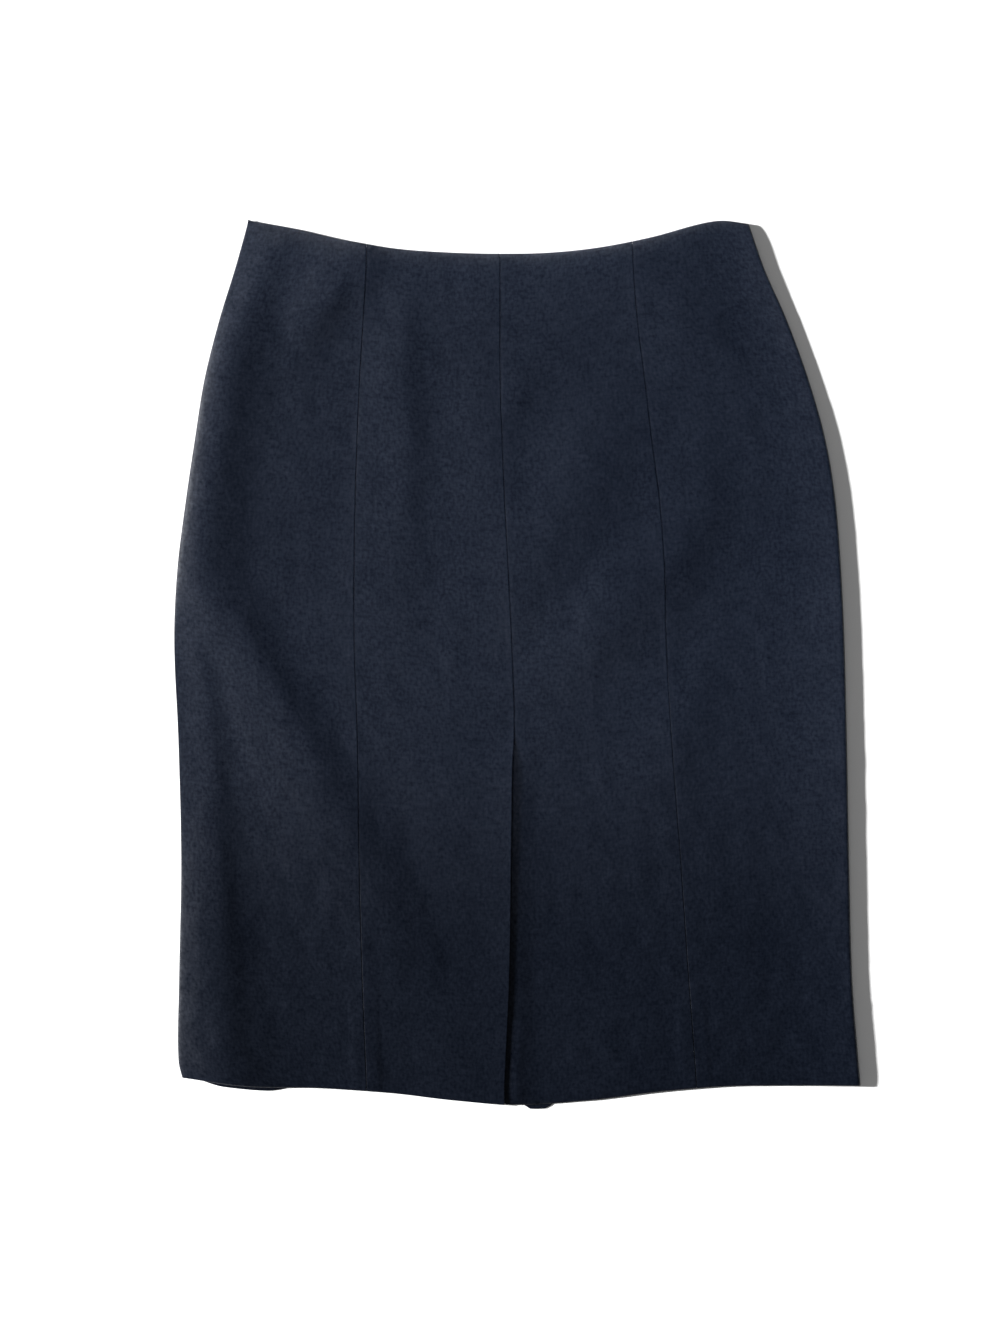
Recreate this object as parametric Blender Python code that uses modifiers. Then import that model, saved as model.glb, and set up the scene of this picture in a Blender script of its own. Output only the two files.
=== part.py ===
"""A tailored pencil skirt laid flat on its front: five cloth panels with their folds.

The back lies on top: two side panels and two centre panels, joined by princess seams and a
centre seam that opens into an overlapping vent. The front is one panel and lies underneath.
Frame: +X to the right, +Y from hem to waist, +Z up. The skirt rests on z = 0 and the origin is
the bottom centre of its box. Sizes in this file are millimetres, made metres as they are used.
"""
from collections import namedtuple
import math

import bmesh
import bpy

MM = 0.001

# Cloth and the way its layers lie on each other
CLOTH = 1.2             # wall that stands for the wool and its turned-in allowance
SEAM_GAP = 0.3          # between two panels along their seam
LAYER_GAP = 0.4         # between two layers that lie on each other
SIDE_RADIUS = 1.6       # of the rounded fold along each side, at the middle of the cloth

# Heights of the middle of the cloth
FRONT_HEIGHT = CLOTH / 2
SIDE_SEAM_HEIGHT = FRONT_HEIGHT + SIDE_RADIUS
SIDE_TOP = SIDE_SEAM_HEIGHT + SIDE_RADIUS
UNDERLAY_HEIGHT = FRONT_HEIGHT + CLOTH + LAYER_GAP
OVERLAP_HEIGHT = UNDERLAY_HEIGHT + CLOTH + LAYER_GAP
BACK_REST = 3.0         # the back where no fold lifts it
BACK_TOP = 5.4          # the back at its highest folds
SIDE_LINE = CLOTH / 2 + SIDE_RADIUS   # from a side's outline in to where its fold ends

# The soft roll that each side edge forms, from its fold inwards
Roll = namedtuple("Roll", "crest_at reach height")
LEFT_ROLL = Roll(crest_at=13.0, reach=28.0, height=2.4)
RIGHT_ROLL = Roll(crest_at=10.0, reach=60.0, height=1.6)
EDGE_REACH = 12.0       # over which the cloth climbs from the side's fold

# Vent
VENT_TOP = 0.577        # where the centre seam stops, as a share of the length
VENT_FIRST_STEP = 0.014  # from there to the underlay's top edge
UNDERLAY_WIDTH = 30.0
UNDERLAY_INSET = 1.0    # how far the underlay's hem lies in from the panel over it
UNDERLAY_SLANT = 0.3    # how steeply its top edge falls away from the seam
VENT_EDGE_REACH = 16.0  # how far right of the vent the right panel dips
OVERLAP_REACH = 34.0    # how far past the underlay the left panel stays lifted

# Front
FRONT_INSET = 2.0       # how far its waist and hem lie in from the back's
FRONT_EASE = 0.2        # share of the length over which that inset grows
PEEK_LEVEL = -300.0     # height of the hem where the front shows below it
PEEK_REACH = 1.5        # half-widths out to where its hem is hidden again
PEEK_CLEAR = 1.7        # half-widths on each side without the front's even columns
PEEK_STEPS = (-1.5, -1.0, -0.5, 0.0, 0.5, 1.0, 1.5)   # its close ones, in half-widths

# Mesh
ROWS_ABOVE_VENT = 17
ROWS_BELOW_VENT = 11
COLUMN_WIDTH = 9.5
SIDE_COLUMNS = 6
UNDERLAY_COLUMNS = 3
FRONT_COLUMNS = 12
CURVE_STEPS = 24
ROW_PASSES = 6          # that bring a point of a row to where the waist and hem curves put it

# Where the side edges and seams run, at each height from the waist's corners to the hem
Section = namedtuple("Section", "y left left_princess center right_princess right")
SECTIONS = (
    Section(-302.4, -239.6, -108.3, -8.9, 128.8, 246.6),
    Section(-284.0, -243.9, -109.0, -8.0, 127.6, 245.0),
    Section(-226.8, -243.4, -111.3, -5.3, 123.3, 240.6),
    Section(-140.4, -241.8, -113.5, -3.2, 117.4, 238.3),
    Section(-54.0, -243.6, -114.9, -2.0, 110.8, 236.7),
    Section(18.0, -246.6, -117.3, -4.2, 106.8, 234.9),
    Section(68.4, -244.4, -117.3, -6.6, 105.6, 232.5),
    Section(118.8, -238.2, -116.5, -9.1, 102.0, 228.5),
    Section(162.0, -231.8, -115.1, -10.9, 96.4, 221.3),
    Section(205.2, -224.9, -113.3, -12.4, 91.5, 209.2),
    Section(248.4, -214.1, -110.7, -12.5, 86.1, 193.4),
    Section(284.4, -203.0, -108.6, -12.5, 83.2, 177.6),
    Section(319.5, -193.2, -108.3, -12.9, 82.5, 165.5),
)

# Height of the waist edge and of the hem, from the left side (0) to the right side (1)
Edge = namedtuple("Edge", "across waist hem")
EDGES = (
    Edge(0.0, 319.5, -296.6),
    Edge(0.1, 313.3, -302.8),
    Edge(0.2, 305.1, -304.0),
    Edge(0.3, 299.3, -307.3),
    Edge(0.4, 296.6, -312.4),
    Edge(0.5, 295.6, -315.9),
    Edge(0.6, 296.4, -312.9),
    Edge(0.7, 300.2, -306.8),
    Edge(0.8, 307.4, -302.8),
    Edge(0.9, 316.8, -302.1),
    Edge(0.95, 319.3, -301.9),
    Edge(1.0, 316.5, -301.7),
)

# The largest folds of the back. Each runs down the skirt along a bent line, has its own width
# to the left and right of that line, and stands up (or sinks, where its height is negative).
Fold = namedtuple("Fold", "start middle end left_width right_width height")
FOLDS = (
    Fold((-222, 112), (-170, -40), (-54, -203), 24.0, 15.0, 2.4),  # left hip to the vent
    Fold((-112, 296), (-140, 262), (-176, 206), 16.0, 13.0, 1.4),  # below the waist, left
    Fold((-84, 295), (-74, 195), (-98, 70), 15.0, 12.0, 1.0),      # beside the left princess seam
    Fold((-34, 300), (-30, 250), (-26, 150), 18.0, 16.0, 0.8),     # beside the centre seam
    Fold((137, 176), (112, 60), (2, -44), 26.0, 18.0, 1.4),        # right hip to the centre seam
    Fold((78, 180), (0, 120), (-12, 10), 22.0, 18.0, 0.9),         # above that one
    Fold((142, 30), (125, -30), (92, -100), 22.0, 20.0, 0.8),      # below it
    Fold((-180, 40), (-110, -90), (-44, -210), 20.0, 14.0, -0.6),  # the trough above the first
)
FOLD_RISE = 0.25        # share of a fold's line over which it rises from its start
FOLD_FADE = 0.45        # share over which it fades to its end
MEETING_POWER = 4       # how sharply folds that meet keep to the higher one

# Where the front's hem shows below the back's
Peek = namedtuple("Peek", "x half_width reach")
PEEKS = (
    Peek(-196.0, 30.0, 2.6),
    Peek(12.0, 12.0, 3.6),
)

COLLECTION = "pencil_skirt"
NAVY = (0.0176, 0.0210, 0.0330, 1.0)
DARK_NAVY = (0.0150, 0.0178, 0.0285, 1.0)
WOOL_ROUGHNESS = 0.88


def clamp(value, low, high):
    return min(max(value, low), high)


def ease(t):
    """0 below 0, 1 above 1, and a smooth step between."""
    t = clamp(t, 0.0, 1.0)
    return t * t * (3 - 2 * t)


def mix(a, b, share):
    return a + (b - a) * share


def smooth_through(keys, values, at):
    """Reads the cubic curve through values at rising keys."""
    last = len(keys) - 1
    at = clamp(at, keys[0], keys[last])
    i = 0
    while i < last - 1 and at > keys[i + 1]:
        i += 1

    def slope(j):
        before = max(j - 1, 0)
        after = min(j + 1, last)
        return (values[after] - values[before]) / (keys[after] - keys[before])

    span = keys[i + 1] - keys[i]
    t = (at - keys[i]) / span
    rise = values[i + 1] - values[i]
    start_slope = slope(i) * span
    end_slope = slope(i + 1) * span
    bend = 3 * rise - 2 * start_slope - end_slope
    twist = start_slope + end_slope - 2 * rise
    return values[i] + t * (start_slope + t * (bend + t * twist))


def line_at(name, y):
    """The x of a side edge or seam at a height y."""
    return smooth_through([s.y for s in SECTIONS], [getattr(s, name) for s in SECTIONS], y)


def edge_at(name, across):
    """The y of the waist edge or hem at a share of the width."""
    return smooth_through([e.across for e in EDGES], [getattr(e, name) for e in EDGES], across)


def on_row(v, x_at):
    """The point of the row v of the cloth, 0 at the waist and 1 at the hem, that is on x_at(y)."""
    y = mix(edge_at("waist", 0.5), edge_at("hem", 0.5), v)
    for _ in range(ROW_PASSES):
        left = line_at("left", y)
        across = (x_at(y) - left) / (line_at("right", y) - left)
        y = mix(edge_at("waist", across), edge_at("hem", across), v)
    return x_at(y), y


def fold_height(fold, x, y):
    """How much one fold lifts the cloth at a point, fading to nothing at its two ends."""
    nearest = None
    for k in range(CURVE_STEPS + 1):
        t = k / CURVE_STEPS
        near_start = mix(fold.start[0], fold.middle[0], t), mix(fold.start[1], fold.middle[1], t)
        near_end = mix(fold.middle[0], fold.end[0], t), mix(fold.middle[1], fold.end[1], t)
        along = near_end[0] - near_start[0], near_end[1] - near_start[1]
        off = x - mix(near_start[0], near_end[0], t), y - mix(near_start[1], near_end[1], t)
        distance = math.hypot(*off)
        if nearest is None or distance < nearest[0]:
            nearest = distance, t, off[1] * along[0] - off[0] * along[1]
    distance, t, side = nearest
    width = fold.right_width if side > 0 else fold.left_width
    fade = ease(t / FOLD_RISE) * ease((1 - t) / FOLD_FADE)
    return fold.height * fade * math.exp(-((distance / width) ** 2))


def roll_height(roll, inward):
    """How much a side's roll lifts the cloth at a distance in from the side's fold."""
    if inward < roll.crest_at:
        return roll.height * math.sin(math.pi / 2 * max(inward, 0.0) / roll.crest_at)
    return roll.height * (1 - ease((inward - roll.crest_at) / roll.reach))


def back_height(x, y):
    """Height of the back's cloth, away from the vent."""
    from_left = x - line_at("left", y) - SIDE_LINE
    from_right = line_at("right", y) - SIDE_LINE - x
    lifts = [roll_height(LEFT_ROLL, from_left), roll_height(RIGHT_ROLL, from_right)]
    lifts += [fold_height(fold, x, y) for fold in FOLDS if fold.height > 0]
    sinks = [fold_height(fold, x, y) for fold in FOLDS if fold.height < 0]
    lift = sum(h ** MEETING_POWER for h in lifts) ** (1 / MEETING_POWER)
    height = clamp(BACK_REST + lift + sum(sinks), UNDERLAY_HEIGHT, BACK_TOP)
    climb = clamp(min(from_left, from_right) / EDGE_REACH, 0.0, 1.0)
    return mix(SIDE_TOP, height, math.sin(math.pi / 2 * climb))


def length_shares():
    """How far down the skirt each row lies, with two rows close together at the vent's top."""
    above = [VENT_TOP * k / ROWS_ABOVE_VENT for k in range(ROWS_ABOVE_VENT + 1)]
    first = VENT_TOP + VENT_FIRST_STEP
    below = [mix(first, 1.0, k / ROWS_BELOW_VENT) for k in range(ROWS_BELOW_VENT + 1)]
    return above + below


SHARES = length_shares()


def wool(name, colour):
    material = bpy.data.materials.new(name)
    material.use_nodes = True
    shader = material.node_tree.nodes["Principled BSDF"]
    shader.inputs["Base Color"].default_value = colour
    shader.inputs["Roughness"].default_value = WOOL_ROUGHNESS
    shader.inputs["Metallic"].default_value = 0.0
    return material


def panel(name, columns, place, colour, keep=None):
    """Makes a panel from a grid whose columns and rows place() puts in space."""
    rows = len(SHARES) - 1
    grid = bmesh.new()
    bmesh.ops.create_grid(grid, x_segments=columns, y_segments=rows, size=1.0)
    if keep:
        cut = []
        for face in grid.faces:
            middle = face.calc_center_median()
            column = math.floor((middle.x + 1) / 2 * columns)
            row = math.floor((1 - middle.y) / 2 * rows)
            if not keep(column, row):
                cut.append(face)
        bmesh.ops.delete(grid, geom=cut, context="FACES")
    for vertex in grid.verts:
        column = round((vertex.co.x + 1) / 2 * columns)
        row = round((1 - vertex.co.y) / 2 * rows)
        vertex.co = [MM * value for value in place(column, row)]
    mesh = bpy.data.meshes.new(name)
    grid.to_mesh(mesh)
    grid.free()
    mesh.shade_smooth()
    mesh.materials.append(wool(name + "_wool", colour))
    piece = bpy.data.objects.new(name, mesh)
    bpy.data.collections[COLLECTION].objects.link(piece)
    wall = piece.modifiers.new("wall", "SOLIDIFY")
    wall.thickness = CLOTH * MM
    wall.offset = 0.0
    wall.use_even_offset = True
    return piece


def side_fold_point(side, v, step, above):
    """A point on the fold of a side: step 0 is at its seam, SIDE_COLUMNS where the fold ends."""
    inward = 1 if side == "left" else -1
    x, y = on_row(v, lambda y: line_at(side, y) + inward * CLOTH / 2)
    angle = mix(SEAM_GAP / 2 / SIDE_RADIUS, math.pi / 2, step / SIDE_COLUMNS)
    x += inward * SIDE_RADIUS * (1 - math.cos(angle))
    rise = SIDE_RADIUS * math.sin(angle)
    return x, y, SIDE_SEAM_HEIGHT + (rise if above else -rise)


def back_side(side):
    """The panel from a side seam, over the side's fold, to the princess seam."""
    princess = side + "_princess"
    flat = round(abs(line_at(side, 0) - line_at(princess, 0)) / COLUMN_WIDTH)
    inward = 1 if side == "left" else -1

    def place(column, row):
        step = column if side == "left" else SIDE_COLUMNS + flat - column
        if step <= SIDE_COLUMNS:
            return side_fold_point(side, SHARES[row], step, above=True)
        share = (step - SIDE_COLUMNS) / flat

        def x_at(y):
            fold_end = line_at(side, y) + inward * SIDE_LINE
            seam = line_at(princess, y) - inward * SEAM_GAP / 2
            return mix(fold_end, seam, share)

        x, y = on_row(SHARES[row], x_at)
        return x, y, back_height(x, y)

    return panel("back_side_" + side, SIDE_COLUMNS + flat, place, NAVY)


def back_center_left():
    """The left centre panel, whose folded edge covers the vent's underlay."""
    columns = round((line_at("center", 0) - line_at("left_princess", 0)) / COLUMN_WIDTH)

    def place(column, row):
        def x_at(y):
            princess = line_at("left_princess", y) + SEAM_GAP / 2
            return mix(princess, line_at("center", y) - SEAM_GAP / 2, column / columns)

        x, y = on_row(SHARES[row], x_at)
        height = back_height(x, y)
        if row <= ROWS_ABOVE_VENT:
            return x, y, height
        from_edge = line_at("center", y) - x
        over_underlay = ease((UNDERLAY_WIDTH + OVERLAP_REACH - from_edge) / OVERLAP_REACH)
        return x, y, max(height, mix(height, OVERLAP_HEIGHT, over_underlay))

    return panel("back_center_left", columns, place, NAVY)


def back_center_right():
    """The right centre panel, with the underlay that runs on under the left one."""
    seam_to_seam = line_at("right_princess", 0) - line_at("center", 0)
    shown = round(seam_to_seam / COLUMN_WIDTH)

    def place(column, row):
        hidden = max(UNDERLAY_COLUMNS - column, 0) / UNDERLAY_COLUMNS
        share = max(column - UNDERLAY_COLUMNS, 0) / shown

        def x_at(y):
            seam = line_at("center", y) + SEAM_GAP / 2 - UNDERLAY_WIDTH * hidden
            return mix(seam, line_at("right_princess", y) - SEAM_GAP / 2, share)

        x, y = on_row(SHARES[row], x_at)
        if row <= ROWS_ABOVE_VENT:
            return x, y, back_height(x, y)
        if hidden and row == ROWS_ABOVE_VENT + 1:
            y -= UNDERLAY_SLANT * UNDERLAY_WIDTH * hidden
        if hidden and row == len(SHARES) - 1:
            y += UNDERLAY_INSET
        dip = 1 - ease((x - line_at("center", y)) / VENT_EDGE_REACH)
        return x, y, mix(back_height(x, y), UNDERLAY_HEIGHT, dip)

    def keep(column, row):
        return column >= UNDERLAY_COLUMNS or row > ROWS_ABOVE_VENT

    return panel("back_center_right", UNDERLAY_COLUMNS + shown, place, NAVY, keep)


def front_shares():
    """Where the front's flat columns lie, with close ones where its hem shows."""
    left = line_at("left", PEEK_LEVEL) + SIDE_LINE
    width = line_at("right", PEEK_LEVEL) - SIDE_LINE - left
    places = [left + width * k / FRONT_COLUMNS for k in range(FRONT_COLUMNS + 1)]
    for peek in PEEKS:
        clear = PEEK_CLEAR * peek.half_width
        places = [x for x in places if abs(x - peek.x) > clear or x == left]
        around = [peek.x + step * peek.half_width for step in PEEK_STEPS]
        places += [x for x in around if x > left]
    return sorted((x - left) / width for x in places)


def front_edge(x, y, v):
    """Moves a point of the front to where its own waist and hem lie, short of the back's."""
    at_waist = ease(1 - v / FRONT_EASE)
    at_hem = ease(1 - (1 - v) / FRONT_EASE)
    shown = 0.0
    for peek in PEEKS:
        spread = ease(PEEK_REACH - abs(x - peek.x) / peek.half_width)
        shown += (FRONT_INSET + peek.reach) * spread
    return y - FRONT_INSET * at_waist + (FRONT_INSET - shown) * at_hem


def front():
    """The panel that the skirt lies on, flat below and curled up to the side seams."""
    shares = front_shares()
    columns = 2 * SIDE_COLUMNS + len(shares) - 1

    def place(column, row):
        v = SHARES[row]
        step = min(column, columns - column)
        if step < SIDE_COLUMNS:
            side = "left" if column < SIDE_COLUMNS else "right"
            x, y, z = side_fold_point(side, v, step, above=False)
        else:
            share = shares[column - SIDE_COLUMNS]
            x, y = on_row(v, lambda y: mix(
                line_at("left", y) + SIDE_LINE, line_at("right", y) - SIDE_LINE, share))
            z = FRONT_HEIGHT
        return x, front_edge(x, y, v), z

    return panel("front", columns, place, DARK_NAVY)


def build():
    for thing in list(bpy.data.objects):
        bpy.data.objects.remove(thing)
    group = bpy.data.collections.new(COLLECTION)
    bpy.context.scene.collection.children.link(group)
    back_side("left")
    back_center_left()
    back_center_right()
    back_side("right")
    front()


build()
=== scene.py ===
# The looks of a wool pencil skirt that lies flat on its front. Each CAD panel is replaced by thin
# cloth on the same lines, with its hem, waist and seam allowances turned in as a tailor turns them.
# +X is to the right, +Y from hem to waist, +Z up. Sizes are millimetres until they reach Blender.
from collections import namedtuple
import math

import bpy
import numpy as np
from mathutils import Matrix, Vector


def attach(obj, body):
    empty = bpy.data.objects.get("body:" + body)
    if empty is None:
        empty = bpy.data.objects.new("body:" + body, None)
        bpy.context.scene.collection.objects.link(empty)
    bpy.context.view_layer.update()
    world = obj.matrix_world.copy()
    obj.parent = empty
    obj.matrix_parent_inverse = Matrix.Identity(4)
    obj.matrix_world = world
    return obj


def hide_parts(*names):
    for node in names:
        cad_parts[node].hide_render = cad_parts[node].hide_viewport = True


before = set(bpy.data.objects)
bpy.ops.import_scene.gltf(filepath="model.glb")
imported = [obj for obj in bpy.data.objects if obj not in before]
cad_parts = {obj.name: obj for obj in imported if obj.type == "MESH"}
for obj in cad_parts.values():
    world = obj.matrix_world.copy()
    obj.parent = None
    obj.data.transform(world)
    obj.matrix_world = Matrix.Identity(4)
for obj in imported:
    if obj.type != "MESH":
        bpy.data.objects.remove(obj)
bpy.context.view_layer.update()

MM = 0.001

# ---------------------------------------------------------------- sizes

# Cloth
THICKNESS = 0.36
SEAM_GAP = 0.04         # between two panels along their seam
SIDE_SEAM_GAP = 0.30    # between back and front along their seam
SEAM_LAYER = 0.40       # from a panel down to its pressed-open seam allowance
TURN_LAYER = 0.80       # from a panel down to its turned-in hem or waist
SEAM_ALLOWANCE = 10.0
WAIST_TURN = 12.0
HEM_TURN = 60.0
HALF_GAP = SEAM_GAP / 2 + THICKNESS / 2 + SEAM_LAYER / 2   # from a seam to its panel's fold

# Heights of the middle of the cloth
FRONT_HEIGHT = 0.3
BACK_REST = 4.0
BACK_LOW = 2.7          # where the cloth comes to rest on the front
LOW_SOFTNESS = 0.3      # how softly it does

# Where the side edges and seams run, at each height from the hem to the waist's corners
Section = namedtuple("Section", "y left left_princess center right_princess right")
SECTIONS = (
    Section(-302.4, -239.6, -108.3, -8.9, 128.8, 246.6),
    Section(-284.0, -243.9, -109.0, -8.0, 127.6, 245.0),
    Section(-226.8, -243.4, -111.3, -5.3, 123.3, 240.6),
    Section(-140.4, -241.8, -113.5, -3.2, 117.4, 238.3),
    Section(-54.0, -243.6, -114.9, -2.0, 110.8, 236.7),
    Section(18.0, -246.6, -117.3, -4.2, 106.8, 234.9),
    Section(68.4, -244.4, -117.3, -6.6, 105.6, 232.5),
    Section(118.8, -238.2, -116.5, -9.1, 102.0, 228.5),
    Section(162.0, -231.8, -115.1, -10.9, 96.4, 221.3),
    Section(205.2, -224.9, -113.3, -12.4, 91.5, 209.2),
    Section(248.4, -214.1, -110.7, -12.5, 86.1, 193.4),
    Section(284.4, -203.0, -108.6, -12.5, 83.2, 177.6),
    Section(319.5, -193.2, -108.3, -12.9, 82.5, 165.5),
)

# Height of the waist edge and of the hem, from the left side (0) to the right side (1)
Edge = namedtuple("Edge", "across waist hem")
EDGES = (
    Edge(0.0, 319.5, -296.6),
    Edge(0.1, 313.3, -302.8),
    Edge(0.2, 305.1, -304.0),
    Edge(0.3, 299.3, -307.3),
    Edge(0.4, 296.6, -312.4),
    Edge(0.5, 295.6, -315.9),
    Edge(0.6, 296.4, -312.9),
    Edge(0.7, 300.2, -306.8),
    Edge(0.8, 307.4, -302.8),
    Edge(0.9, 316.8, -302.1),
    Edge(0.95, 319.3, -301.9),
    Edge(1.0, 316.5, -301.7),
)
ROW_PASSES = 6          # that bring a point of a row to where the waist and hem curves put it

# How the left side rounds up from its seam: how high the seam lies, and how far in the rounding
# goes. Bulge is 1 for a quarter of an ellipse, 0 for a straight ramp.
Rounding = namedtuple("Rounding", "y seam width bulge")
LEFT_ROUNDING = (
    Rounding(-300.0, 0.7, 20, 0.7),
    Rounding(-225.0, 1.3, 14, 0.8),
    Rounding(-170.0, 1.6, 14, 0.8),
    Rounding(-100.0, 3.0, 17, 0.8),
    Rounding(-30.0, 3.8, 19, 0.9),
    Rounding(40.0, 3.8, 18, 0.9),
    Rounding(120.0, 3.8, 18, 1.0),
    Rounding(220.0, 3.8, 19, 1.0),
    Rounding(319.5, 3.2, 15, 0.9),
)

# The right side is folded tightly, and its cloth climbs ever steeper to that fold
RIGHT_ROUNDING = 1.8    # how far in its rounding goes
RIGHT_SEAM_HEIGHT = 3.2
Climb = namedtuple("Climb", "y height reach")
RIGHT_CLIMB = (
    Climb(-300.0, 4.3, 60),
    Climb(-60.0, 4.6, 62),
    Climb(100.0, 4.3, 54),
    Climb(160.0, 3.8, 44),
    Climb(230.0, 3.0, 33),
    Climb(319.5, 2.4, 26),
)

# The cloth swells below the waist, and rounds down to the waist edge and to the hem
WAIST_LIFT = 1.6
WAIST_LIFT_REACH = 90.0
WAIST_DROP = 3.2
WAIST_ROUND = 18.0      # length over which it rounds down
HEM_DROP = 1.3
HEM_ROUND = 10.0

# The soft folds of the back, as points along their crests from the waist down. Each point has
# its height and how wide the fold is to its left and right. A negative height is a hollow.
Crest = namedtuple("Crest", "x y height left right")
FOLDS = {
    "left side, then across to the vent": (
        Crest(-177, 296, 1.2, 10, 12),
        Crest(-206, 219, 4.4, 28, 24),
        Crest(-219, 141, 5.0, 34, 23),
        Crest(-225, 66, 5.0, 30, 27),
        Crest(-195, 13, 4.8, 38, 19),
        Crest(-157, -49, 4.0, 39, 18),
        Crest(-124, -120, 3.0, 44, 21),
        Crest(-86, -184, 2.3, 54, 30),
        Crest(-64, -226, 1.2, 50, 28),
        Crest(-50, -268, 0.0, 40, 24),
    ),
    "lower left side": (
        Crest(-236, 30, 0.0, 14, 9),
        Crest(-224, -25, 1.2, 22, 9),
        Crest(-218, -100, 2.2, 22, 12),
        Crest(-214, -170, 2.6, 22, 15),
        Crest(-213, -240, 2.5, 22, 19),
        Crest(-208, -300, 3.2, 22, 28),
    ),
    "below the waist, left": (
        Crest(-115, 287, 2.2, 28, 20),
        Crest(-138, 260, 3.2, 25, 14),
        Crest(-158, 225, 1.2, 16, 12),
        Crest(-171, 198, 0.0, 12, 12),
    ),
    "left hip": (
        Crest(-76, 289, 0.2, 14, 13),
        Crest(-84, 214, 1.9, 22, 16),
        Crest(-81, 149, 2.6, 30, 19),
        Crest(-87, 70, 1.3, 26, 22),
        Crest(-93, -8, 0.0, 16, 14),
    ),
    "right hip to the centre seam": (
        Crest(142, 188, 0.0, 23, 15),
        Crest(133, 162, 1.2, 34, 17),
        Crest(129, 110, 2.7, 36, 21),
        Crest(102, 71, 3.8, 36, 29),
        Crest(74, 41, 4.0, 35, 30),
        Crest(40, 4, 2.0, 28, 24),
        Crest(10, -30, 0.0, 20, 20),
    ),
    "beside the centre seam, right": (
        Crest(86, 216, 0.0, 23, 18),
        Crest(78, 184, 1.0, 32, 32),
        Crest(48, 139, 3.5, 38, 36),
        Crest(18, 85, 3.5, 32, 32),
        Crest(-2, 42, 2.2, 32, 28),
        Crest(-10, 5, 0.0, 26, 22),
    ),
    "below the waist, right": (
        Crest(70, 303, 1.8, 34, 22),
        Crest(126, 250, 1.2, 30, 18),
        Crest(160, 214, 0.4, 24, 14),
        Crest(182, 170, 0.0, 20, 15),
    ),
    "right thigh": (
        Crest(145, 60, 0.0, 22, 16),
        Crest(144, 6, 0.5, 30, 16),
        Crest(113, -50, 1.8, 34, 24),
        Crest(94, -124, 0.0, 28, 24),
    ),
    "pinch beside the centre seam": (
        Crest(10, 216, 0.0, 14, 14),
        Crest(1, 191, 0.9, 12, 9),
        Crest(-12, 168, 0.0, 12, 9),
    ),
    "along the centre seam": (
        Crest(-48, 282, -0.5, 22, 18),
        Crest(-28, 237, 0.7, 28, 26),
        Crest(-18, 135, 2.4, 32, 28),
        Crest(-20, 50, 0.0, 28, 25),
    ),
    "left of the vent": (
        Crest(-86, -97, 0.0, 16, 16),
        Crest(-68, -157, -0.3, 16, 18),
        Crest(-74, -230, -0.1, 14, 14),
        Crest(-72, -300, -0.3, 14, 15),
    ),
    "right of the vent": (
        Crest(16, -50, 0.0, 10, 45),
        Crest(16, -95, -0.8, 12, 45),
        Crest(16, -150, -1.0, 12, 45),
        Crest(16, -205, -1.2, 12, 45),
        Crest(16, -310, -1.3, 12, 45),
    ),
    "left hip, outer": (
        Crest(-164, 154, 0.0, 16, 12),
        Crest(-155, 131, 0.3, 15, 12),
        Crest(-156, 98, 0.0, 15, 12),
    ),
    "left princess seam, at the hem": (
        Crest(-118, -225, 0.0, 20, 14),
        Crest(-114, -262, 0.4, 24, 14),
        Crest(-110, -300, 0.7, 26, 16),
    ),
}
CURVE_STEPS = 32
CREST_BLEND = 3.0       # over which the parts of a crest blend where they are equally near

# Vent
VENT_TOP = 0.577        # where the centre seam stops, as a share of the length
UNDERLAY_WIDTH = 30.0
UNDERLAY_RAISE = 1.5    # how far the underlay's hem lies in from the panel's
PARTING_START = 15.0    # how far above the vent its two sides start to part
PARTING_LENGTH = 35.0   # over which they part
OVERLAP_REACH = 60.0    # how far left of the underlay the left panel stays lifted
LIP_REACH = 30.0        # over which the overlap curls up to its edge
VENT_DIP_REACH = 16.0   # how far right of the vent the right panel dips to its underlay
# The height of the overlap, of the curl at its edge and of the underlay, and how far the
# overlap's edge lies back from the centre line
Vent = namedtuple("Vent", "y overlap lip underlay back")
VENT = (
    Vent(-320.0, 5.0, 0.5, 3.8, 0.3),
    Vent(-220.0, 5.0, 0.6, 3.9, 0.5),
    Vent(-150.0, 4.9, 1.0, 3.9, 1.1),
    Vent(-70.0, 4.7, 1.2, 3.5, 1.6),
    Vent(-20.0, 4.0, 0.3, 3.3, 0.6),
)

# How far apart the edges of two panels lie in height along their seam. The left one is higher.
Stand = namedtuple("Stand", "y left_princess center right_princess")
SEAM_STANDS = (
    Stand(-300.0, 0.10, 0.00, 0.09),
    Stand(-200.0, 0.12, 0.00, 0.11),
    Stand(-110.0, 0.15, 0.00, 0.13),
    Stand(-30.0, 0.21, 0.30, 0.17),
    Stand(20.0, 0.23, 0.30, 0.22),
    Stand(100.0, 0.23, 0.20, 0.22),
    Stand(320.0, 0.22, 0.23, 0.21),
)
LEFT_STANDS = 0.6       # share by which the left one stands up. The right one sinks by the rest.
LEFT_STANDS_REACH = 5.0     # over how much of the left one it fades out
RIGHT_SINKS_REACH = 3.0     # and of the right one

# Allowances that show through as faint steps
ALLOWANCE_EDGE = 2.5    # width of such a step
ALLOWANCE_LEAD = 1.0    # how far inside the allowance's edge it starts
SEAM_STEP = 0.06
SEAM_STEP_IN_HEM = 0.25
HEM_STEP = 0.45

# Faint unevenness of cloth that has been worn and pressed
RIPPLE_SEED = 7
RIPPLES = 60
RIPPLE_SLOPE = 0.022    # of all of them together, as a root mean square
RIPPLE_LENGTHS = (9.0, 30.0)    # from crest to crest
RIPPLE_TURN = 1.0       # radians by which they turn, at most, from running up and down

# Front
FRONT_INSET = 2.0       # how far its waist and hem lie in from the back's
FRONT_EASE = 0.2        # share of the length over which that inset grows
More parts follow.
